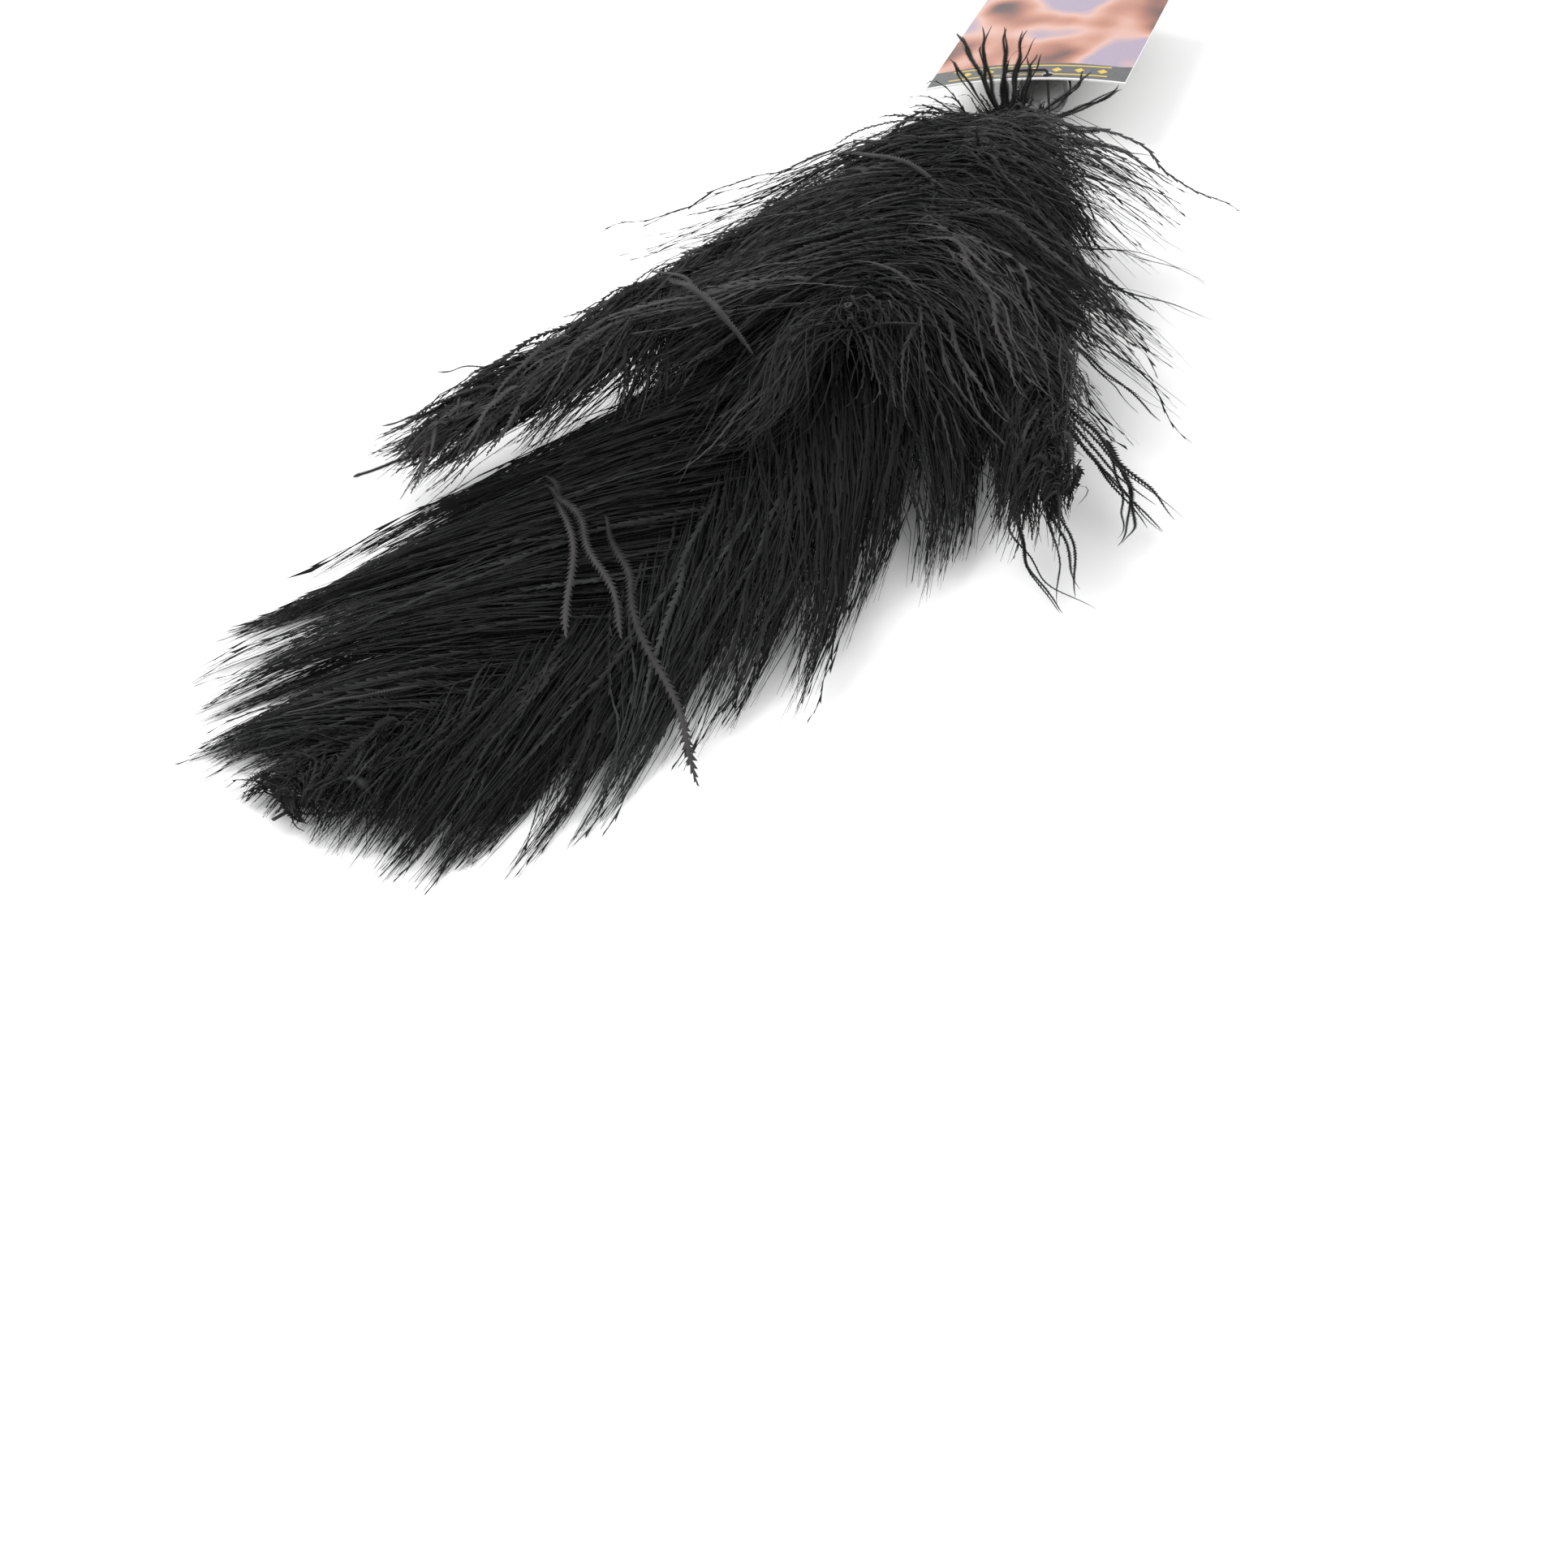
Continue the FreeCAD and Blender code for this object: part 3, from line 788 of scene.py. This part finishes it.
# Short down along the top of each shaft, which hides it: how many, between which shares, their
# length in mm, how far they lean off the shaft in degrees, and their height in mm.
RIDGES = {
    "top": {"count": 420, "first": 0.0, "last": 0.97, "length": 26, "lean": 55, "height": 4.0},
    "centre": {"count": 440, "first": 0.3, "last": 0.8, "length": 34, "lean": 15, "height": 1.2},
    "left": {"count": 160, "first": 0.1, "last": 0.86, "length": 20, "lean": 34, "height": 2.0},
    "right": {"count": 130, "first": 0.1, "last": 0.66, "length": 20, "lean": 34, "height": 2.0},
}
RIDGE_RINGS = 18
DOWN_WIDTH = 0.7 * MM


def grow_ridge(plume, count, first, last, length, lean, height, seed):
    """Short soft barbs that start on the shaft and lie over it."""
    rng = np.random.default_rng(seed)
    shaft = SHAFTS[plume]
    share = rng.uniform(first, last, count)
    along = shaft.along(share)
    angle = np.radians(rng.normal(0, lean, count))
    side = across(along, 1.0)
    head = np.cos(angle)[:, None] * along + np.sin(angle)[:, None] * side
    size = length * MM * rng.uniform(0.5, 1.3, count)
    reach = size[:, None]
    root = shaft.at(share) + UP * 0.8 * MM
    bend = rng.normal(0, 0.25, count)[:, None] * side
    tip = root + unit(head + bend) * reach
    tip_height = rng.uniform(-0.4, 0.6, count) * height * MM
    tip[:, 2] = shaft.at(np.minimum(share + 0.1, 1.0))[:, 2] + tip_height
    rise = UP * (height * MM * rng.uniform(0.5, 1.5, count))[:, None]
    t = np.linspace(0.0, 1.0, RIDGE_RINGS)[None, :, None]
    lines = bezier(root, root + head * reach * 0.35 + rise, tip - head * reach * 0.3 + rise, tip, t)
    phase = rng.uniform(0, 2 * math.pi, count)[:, None]
    sway = 0.8 * MM * np.sin(t[..., 0] * 9.0 + phase) * t[..., 0]
    lines += side[:, None, :] * sway[..., None]
    tone = 0.42 + rng.normal(0, 0.16, count)
    widths = taper(RIDGE_RINGS, rng.uniform(*SIZES, count), DOWN_WIDTH)
    return ribbon(lines, widths, tone, rng, 0.5, 0.08, 1.1)


for order, (plume, values) in enumerate(RIDGES.items()):
    down = grow_ridge(plume, seed=RIDGE_SEED + order, **values)
    thing = piece(f"{plume}_ridge_down", [down], BARBS)
    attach(thing, f"{plume}_plume")

# Root down, which stands for its CAD solid, and the fluff that turns back over the collar. Their
# roots and tips lie between two places along X, in mm from the collar's mouth, "inner" and "outer"
# away from the handle's line, and the tips hang by up to a share of "outer".
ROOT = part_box("root_down")
ROOT_SPREAD = ROOT[1][1]
ROOT_DOWN = {
    "count": 520,
    "start": (-19, -9),
    "end": (-62, -20),
    "inner": 5.5 * MM,
    "outer": ROOT_SPREAD * 0.98,
    "seed": ROOT_SEED,
    "hang": 0.35,
}
COLLAR_DOWN = {
    "count": 170,
    "start": (-7, -2),
    "end": (-14, 9),
    "inner": 7 * MM,
    "outer": ROOT_SPREAD * 0.95,
    "seed": COLLAR_SEED,
    "hang": 0.1,
}
ROOT_RINGS = 20


def grow_root(count, start, end, inner, outer, seed, hang):
    """Down that starts around the bound quills and opens out between two places on X."""
    rng = np.random.default_rng(seed)
    turn = rng.uniform(0, 2 * math.pi, count)
    out = np.stack([np.zeros(count), np.cos(turn), np.sin(turn)], -1)
    root = out * (inner * rng.uniform(0.6, 1.2, count))[:, None]
    root[:, 0] = MOUTH + rng.uniform(*start, count) * MM
    tip = out * (outer * rng.uniform(0.5, 1.1, count))[:, None]
    tip[:, 0] = MOUTH + rng.uniform(*end, count) * MM
    tip[:, 2] -= hang * outer * rng.uniform(0.2, 1.0, count)
    span = np.linalg.norm(tip - root, axis=1)[:, None]
    around = np.stack([np.zeros(count), -out[:, 2], out[:, 1]], -1)
    swirl = rng.normal(0, 0.35, count)[:, None] * around
    t = np.linspace(0.0, 1.0, ROOT_RINGS)[None, :, None]
    toward = np.sign(tip[:, :1] - root[:, :1]) * np.array([[1.0, 0.0, 0.0]])
    leave = root + (out * 0.7 + toward * 0.5) * span * 0.4
    arrive = tip - unit(tip - root + swirl * span) * span * 0.3
    lines = bezier(root, leave, arrive, tip, t)
    phase = rng.uniform(0, 2 * math.pi, count)[:, None]
    lines[..., 1] += 0.9 * MM * np.sin(t[..., 0] * 10.0 + phase) * t[..., 0]
    lines[..., 2] += 0.7 * MM * np.cos(t[..., 0] * 8.0 + phase) * t[..., 0]
    tone = 0.35 + rng.normal(0, 0.15, count)
    widths = taper(ROOT_RINGS, rng.uniform(*SIZES, count), DOWN_WIDTH)
    return ribbon(lines, widths, tone, rng, 0.7, 0.1, 1.0)


root = piece("root_fluff", [grow_root(**ROOT_DOWN)], BARBS)
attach(root, "plume_root")
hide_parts("root_down")
back = piece("collar_fluff", [grow_root(**COLLAR_DOWN)], BARBS)
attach(back, "handle")

# Loose barbs, each by three points: mm from the collar's mouth along the duster (towards the
# plumes), to the left, and up from the floor; then its width, as a share of its owner's
# STRAY_WIDTH, and its shade.
STRAYS = {
    "centre": (
        ((282, 75, 17), (302, 58, 19), (350, 37, 14), 0.95, 0.85),
        ((286, 72, 17), (308, 50, 20), (343, 23, 13), 0.95, 0.85),
        ((298, 47, 19), (336, 22, 18), (385, -16, 4), 1.0, 0.8),
        ((387, 64, 19), (400, 80, 20), (407, 95, 16), 1.1, 0.85),
    ),
    "top": (
        ((241, 21, 46), (224, 42, 52), (206, 62, 46), 1.0, 0.85),
        ((236, 26, 46), (216, 50, 51), (200, 70, 44), 0.8, 0.75),
        ((145, -16, 57), (130, 12, 60), (115, 37, 50), 1.0, 0.85),
        ((120, 4, 57), (112, 24, 56), (112, 40, 47), 0.8, 0.75),
        ((188, -33, 54), (180, -30, 58), (171, -22, 57), 0.9, 0.8),
    ),
    "right": (
        ((200, -60, 30), (222, -86, 24), (232, -111, 10), 0.75, 0.3),
        ((206, -62, 28), (228, -84, 22), (238, -108, 9), 0.6, 0.3),
        ((215, -84, 22), (232, -97, 13), (241, -97, 4), 0.6, 0.3),
        ((228, -62, 22), (252, -78, 14), (268, -90, 4), 0.7, 0.3),
        ((232, -60, 22), (262, -70, 12), (280, -88, 4), 0.5, 0.3),
        ((125, -40, 34), (118, -70, 33), (114, -98, 24), 0.5, 0.3),
        ((138, -50, 31), (137, -75, 30), (135, -98, 22), 0.55, 0.3),
        ((170, -60, 28), (182, -80, 23), (190, -97, 16), 0.5, 0.3),
    ),
    "left": (
        ((236, 88, 27), (244, 108, 27), (247, 126, 23), 0.6, 0.4),
        ((255, 98, 25), (268, 116, 23), (274, 132, 18), 0.6, 0.4),
        ((280, 104, 21), (292, 118, 19), (299, 130, 15), 0.7, 0.4),
    ),
    "handle": (
        ((5, 2, 20), (0, 5, 38), (-9, 8, 50), 0.7, 0.35),
        ((6, 4, 20), (4, 16, 40), (-8, 27, 46), 0.7, 0.35),
        ((6, 0, 20), (1, 0, 38), (-10, 2, 49), 0.6, 0.35),
        ((6, 3, 20), (4, 11, 38), (-8, 17, 50), 0.6, 0.35),
        ((5, 6, 18), (5, 19, 34), (-4, 28, 37), 0.6, 0.35),
        ((4, -2, 20), (-2, -3, 34), (-12, -4, 40), 0.6, 0.35),
        ((4, -5, 19), (-2, -18, 30), (-10, -26, 37), 0.6, 0.3),
        ((4, -6, 18), (-1, -26, 27), (-10, -39, 32), 0.7, 0.3),
        ((8, -8, 14), (2, -30, 14), (-8, -46, 8), 0.6, 0.3),
        ((8, -8, 16), (4, -28, 20), (-4, -38, 17), 0.6, 0.3),
        ((8, 8, 14), (-2, 26, 18), (-8, 42, 9), 0.5, 0.3),
    ),
}
# Full widths in mm.
STRAY_WIDTH = {"centre": 2.3, "top": 2.2, "left": 2.0, "right": 2.2, "handle": 2.9}
STRAY_RINGS = 110
# The barbs of these owners are slim, and each has companions: width as a share of its own, and
# how far in mm their middle and tip (twice that) are scattered.
SLIM_OWNERS = ("handle", "right")
COMPANIONS = ((0.8, 1.3), (0.6, 2.2))


def grow_stray(points, width, shade, seed, jitter, slim):
    """One loose barb with a ragged edge: with a fuller end, or slim and drawn out to its end."""
    rng = np.random.default_rng(seed)
    spots = [np.array([[MOUTH - x * MM, y * MM, FLOOR + h * MM]]) for x, y, h in points]
    spots = [spot + rng.normal(0, jitter * MM * i, 3) * FLAT for i, spot in enumerate(spots)]
    start, middle, end = spots
    t = np.linspace(0.0, 1.0, STRAY_RINGS)[None, :, None]
    knee = middle * 2 - (start + end) / 2
    lines = bezier(start, start + (knee - start) * 2 / 3, end + (knee - end) * 2 / 3, end, t)
    span = float(np.linalg.norm(end - start))
    wobble = 0.016 * span * np.sin(t[..., 0] * rng.uniform(11, 17) + rng.uniform(0, 6))
    lines[..., 1] += wobble * smooth(t[..., 0] * 3)
    lines[..., 2] += 0.6 * wobble[:, ::-1] * smooth(t[..., 0] * 3)
    along = t[0, :, 0]
    if slim:
        shape = 1.2 - 0.8 * along
        club = 1.0
    else:
        shape = 0.4 + 0.6 * smooth(along / 0.3)
        club = 1.0 + 0.5 * np.exp(-((along - 0.93) / 0.04) ** 2)
    widths = (width * MM * shape * club * (1.0 - 0.8 * along ** 12))[None, :]
    return ribbon(lines, widths, np.array([shade]), rng, 0.2, 0.12, 0.8 if slim else 0.5)


for order, (owner, strays) in enumerate(STRAYS.items()):
    slim = owner in SLIM_OWNERS
    parts = []
    for place, (*points, share, shade) in enumerate(strays):
        seed = STRAY_SEED + order * 100 + place * 5
        parts.append(grow_stray(points, STRAY_WIDTH[owner] * share, shade, seed, 0.0, slim))
        for extra, (part, jitter) in enumerate(COMPANIONS if slim else ()):
            width = STRAY_WIDTH[owner] * part * share
            parts.append(grow_stray(points, width, shade, seed + 1 + extra, jitter, slim))
    thing = piece(f"{owner}_loose_barbs", parts, SOFT_BARBS)
    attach(thing, owner if owner == "handle" else f"{owner}_plume")


# Finishes of the CAD nodes.


def give(material, *names):
    """Puts a material on CAD nodes."""
    for name in names:
        for slot in nodes[name].material_slots:
            slot.material = material


def bump(tree, shader, source, strength, distance):
    """Relief from a value."""
    node = tree.nodes.new("ShaderNodeBump")
    node.inputs["Strength"].default_value = strength
    node.inputs["Distance"].default_value = distance
    tree.links.new(source, node.inputs["Height"])
    tree.links.new(node.outputs["Normal"], shader.inputs["Normal"])


def finish_material(name, noise_scale, stretch, stops, rough, relief, coat=0.0, specular=0.5):
    """A finish whose colour, roughness and relief follow one stretched noise."""
    material, tree, shader = new_material(name)
    noise = object_noise(tree, noise_scale, 5.0, stretch)
    colours = ramp(tree, noise.outputs["Fac"], stops)
    tree.links.new(colours.outputs["Color"], shader.inputs["Base Color"])
    fine = object_noise(tree, noise_scale * 6, 3.0, stretch)
    roughness = span(tree, fine.outputs["Fac"], *rough)
    tree.links.new(roughness.outputs["Result"], shader.inputs["Roughness"])
    bump(tree, shader, fine.outputs["Fac"], relief, 0.2 * MM)
    shader.inputs["Coat Weight"].default_value = coat
    shader.inputs["Coat Roughness"].default_value = 0.12
    shader.inputs["Specular IOR Level"].default_value = specular
    return material


# How noise is stretched: along the handle, evenly, and along the wound wire; then the colours.
ALONG = (0.12, 1.0, 1.0)
EVEN = (1.0, 1.0, 1.0)
WOUND = (1.0, 0.25, 0.25)
BLACK_WOOD = (
    (0.3, (0.012, 0.011, 0.0105)),
    (0.62, (0.021, 0.02, 0.0195)),
    (0.8, (0.034, 0.031, 0.03)),
)
COLLAR_BLACK = ((0.35, (0.013, 0.013, 0.0135)), (0.75, (0.026, 0.026, 0.027)))
AMBER = ((0.3, (0.16, 0.09, 0.03)), (0.7, (0.3, 0.19, 0.08)))
HORN = ((0.3, (0.02, 0.015, 0.012)), (0.7, (0.06, 0.045, 0.035)))
DYED_HORN = ((0.3, (0.006, 0.0055, 0.005)), (0.7, (0.018, 0.016, 0.015)))
THREAD = ((0.3, (0.01, 0.01, 0.01)), (0.7, (0.035, 0.035, 0.036)))
QUILLS = [f"{plume}_quill" for plume in PLUMES]
SHAFT_NODES = [f"{plume}_shaft" for plume in PLUMES]
give(finish_material("lacquered_wood", 90.0, ALONG, BLACK_WOOD, (0.16, 0.36), 0.12, 0.6), "handle")
give(finish_material("collar_gloss", 120.0, EVEN, COLLAR_BLACK, (0.14, 0.34), 0.08, 0.5), "collar")
give(finish_material("glue", 180.0, EVEN, AMBER, (0.15, 0.4), 0.3), "glue_plug")
give(finish_material("quill_horn", 200.0, ALONG, HORN, (0.25, 0.45), 0.1), *QUILLS)
give(finish_material("shaft_dyed", 200.0, ALONG, DYED_HORN, (0.3, 0.55), 0.1), *SHAFT_NODES)
give(finish_material("binding_wire", 900.0, WOUND, THREAD, (0.3, 0.6), 0.4), "quill_binding")
give(finish_material("elastic", 1600.0, EVEN, THREAD, (0.6, 0.9), 0.7, 0.0, 0.3), "tag_tie")


def mixed(tree, share, low, high):
    """Two colours mixed by a value; each is a colour or an output."""
    node = tree.nodes.new("ShaderNodeMix")
    node.data_type = "RGBA"
    for socket, value in ((node.inputs[0], share), (node.inputs[6], low), (node.inputs[7], high)):
        if isinstance(value, tuple):
            socket.default_value = value
        else:
            tree.links.new(value, socket)
    return node.outputs[2]


def sums(tree, operation, first, second):
    """One step of arithmetic; each side is a number or an output."""
    node = tree.nodes.new("ShaderNodeMath")
    node.operation = operation
    for socket, value in zip(node.inputs, (first, second)):
        if isinstance(value, float):
            socket.default_value = value
        else:
            tree.links.new(value, socket)
    return node.outputs[0]


def far(tree, value, place):
    """How far a value is from a place, either way."""
    return sums(tree, "ABSOLUTE", sums(tree, "SUBTRACT", value, place), 0.0)


# The card's print, measured from the end at the neck: a dark band with an uneven edge, and in it
# plain lozenges between two thin rules. A white margin is left at the end.
PRINT = (
    (0.32, (0.05, 0.018, 0.014)),
    (0.4, (0.3, 0.1, 0.06)),
    (0.48, (0.48, 0.21, 0.14)),
    (0.56, (0.6, 0.36, 0.3)),
    (0.66, (0.33, 0.27, 0.36)),
)
BAND = ((0.3, (0.05, 0.052, 0.054)), (0.7, (0.075, 0.077, 0.08)))
PAPER = ((0.3, (0.74, 0.73, 0.71)), (0.7, (0.82, 0.82, 0.81)))
YELLOW = (0.62, 0.43, 0.03, 1.0)
WHITE = (0.8, 0.8, 0.8, 1.0)
BAND_END = 17 * MM
BAND_UNEVEN = 4 * MM
ORNAMENT_PLACE = 8.5 * MM
LOZENGE_STEP = 4.5 * MM
LOZENGE_SIZE = 2.1 * MM
RULE_PLACE = 4.2 * MM
RULE_HALF = 0.5 * MM
ORNAMENT_WIDTH = 0.8
MARGIN = 0.9 * MM
FRONT_FACING = 0.4


def tag_material():
    """A printed card: a dark band with yellow lozenges, a warm abstract print, a white back."""
    low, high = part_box("tag_card")
    material, tree, shader = new_material("printed_card")
    place = tree.nodes.new("ShaderNodeTexCoord")
    split = tree.nodes.new("ShaderNodeSeparateXYZ")
    tree.links.new(place.outputs["Object"], split.inputs[0])
    along = sums(tree, "SUBTRACT", split.outputs["X"], float(low[0]))
    warm = object_noise(tree, 34.0, 1.2, EVEN, 0.4)
    colours = ramp(tree, warm.outputs["Fac"], PRINT)
    print_edge = object_noise(tree, 60.0, 2.0)
    uneven = sums(tree, "MULTIPLY", print_edge.outputs["Fac"], BAND_UNEVEN)
    in_band = sums(tree, "LESS_THAN", sums(tree, "ADD", along, uneven), BAND_END)
    band = ramp(tree, object_noise(tree, 300.0, 2.0).outputs["Fac"], BAND)
    face = mixed(tree, in_band, colours.outputs["Color"], band.outputs["Color"])
    middle = far(tree, along, ORNAMENT_PLACE)
    beside = sums(tree, "PINGPONG", split.outputs["Y"], LOZENGE_STEP)
    lozenge = sums(tree, "LESS_THAN", sums(tree, "ADD", beside, middle), LOZENGE_SIZE)
    rule = sums(tree, "LESS_THAN", far(tree, middle, RULE_PLACE), RULE_HALF)
    mark = sums(tree, "MAXIMUM", lozenge, rule)
    half = 0.5 * (float(high[1]) - float(low[1]))
    centre = 0.5 * (float(high[1]) + float(low[1]))
    off = far(tree, split.outputs["Y"], centre)
    mark = sums(tree, "MULTIPLY", mark, sums(tree, "LESS_THAN", off, half * ORNAMENT_WIDTH))
    face = mixed(tree, mark, face, YELLOW)
    face = mixed(tree, sums(tree, "GREATER_THAN", along, MARGIN), WHITE, face)
    # The print is on the front; the edges and the back are plain paper.
    geometry = tree.nodes.new("ShaderNodeNewGeometry")
    normal = tree.nodes.new("ShaderNodeSeparateXYZ")
    turn = tree.nodes.new("ShaderNodeVectorTransform")
    turn.vector_type = "NORMAL"
    turn.convert_from = "WORLD"
    turn.convert_to = "OBJECT"
    tree.links.new(geometry.outputs["True Normal"], turn.inputs[0])
    tree.links.new(turn.outputs[0], normal.inputs[0])
    front = sums(tree, "GREATER_THAN", normal.outputs["Z"], FRONT_FACING)
    paper_noise = object_noise(tree, 700.0, 3.0)
    paper = ramp(tree, paper_noise.outputs["Fac"], PAPER)
    tree.links.new(mixed(tree, front, paper.outputs["Color"], face), shader.inputs["Base Color"])
    rough = span(tree, paper_noise.outputs["Fac"], 0.28, 0.5)
    tree.links.new(rough.outputs["Result"], shader.inputs["Roughness"])
    bump(tree, shader, paper_noise.outputs["Fac"], 0.05, 0.1 * MM)
    shader.inputs["Coat Weight"].default_value = 0.3
    shader.inputs["Coat Roughness"].default_value = 0.2
    return material


give(tag_material(), "tag_card")

# Camera, floor and light.
HANDLE_TURN = math.radians(-71.0)
PITCH = math.radians(42.0)
CAMERA_HEIGHT = 384.4 * MM
CAMERA_BACK = 951 * MM
CAMERA_SIDE = 173 * MM
SENSOR_WIDTH = 36.0
LENS = 49.46

camera_data = bpy.data.cameras.new("camera")
camera_data.sensor_width = SENSOR_WIDTH
camera_data.lens = LENS
camera = bpy.data.objects.new("camera", camera_data)
camera.location = (-CAMERA_BACK, -CAMERA_SIDE, FLOOR + CAMERA_HEIGHT)
camera.rotation_euler = (math.pi / 2 - PITCH, 0.0, HANDLE_TURN)
bpy.context.scene.collection.objects.link(camera)
bpy.context.scene.camera = camera

HALF_FLOOR = 30.0
CORNERS = ((-1, -1), (1, -1), (1, 1), (-1, 1))
FLOOR_WHITE = ((0.3, (0.93, 0.93, 0.93)), (0.7, (0.95, 0.95, 0.95)))
floor_material, floor_tree, floor_shader = new_material("pale_floor")
floor_noise = object_noise(floor_tree, 3.0)
floor_colours = ramp(floor_tree, floor_noise.outputs["Fac"], FLOOR_WHITE)
floor_tree.links.new(floor_colours.outputs["Color"], floor_shader.inputs["Base Color"])
floor_shader.inputs["Roughness"].default_value = 0.9
floor_shader.inputs["Specular IOR Level"].default_value = 0.1
floor_mesh = bpy.data.meshes.new("floor")
floor_corners = [(x * HALF_FLOOR, y * HALF_FLOOR, FLOOR) for x, y in CORNERS]
floor_mesh.from_pydata(floor_corners, [], [(0, 1, 2, 3)])
floor_mesh.materials.append(floor_material)
floor = bpy.data.objects.new("floor", floor_mesh)
bpy.context.scene.collection.objects.link(floor)

world = bpy.data.worlds.new("studio")
world.use_nodes = True
world.node_tree.nodes["Background"].inputs["Color"].default_value = (1.0, 1.0, 1.0, 1.0)
world.node_tree.nodes["Background"].inputs["Strength"].default_value = 1.0
bpy.context.scene.world = world


def softbox(name, place, target, size, power):
    """A large square lamp that looks at a point."""
    data = bpy.data.lights.new(name, "AREA")
    data.size = size
    data.energy = power
    lamp = bpy.data.objects.new(name, data)
    lamp.location = place
    aim = np.array(target) - np.array(place)
    lamp.rotation_euler = (
        math.atan2(math.hypot(aim[0], aim[1]), -aim[2]),
        0.0,
        math.atan2(aim[1], aim[0]) - math.pi / 2,
    )
    bpy.context.scene.collection.objects.link(lamp)


PLUMES_MIDDLE = (-0.35, 0.0, 0.0)
softbox("key_softbox", (-0.5, 0.9, 1.3), PLUMES_MIDDLE, 0.9, 13)
softbox("fill_softbox", (-0.9, -1.0, 1.1), PLUMES_MIDDLE, 1.1, 6)
bpy.context.scene.view_settings.view_transform = "Standard"
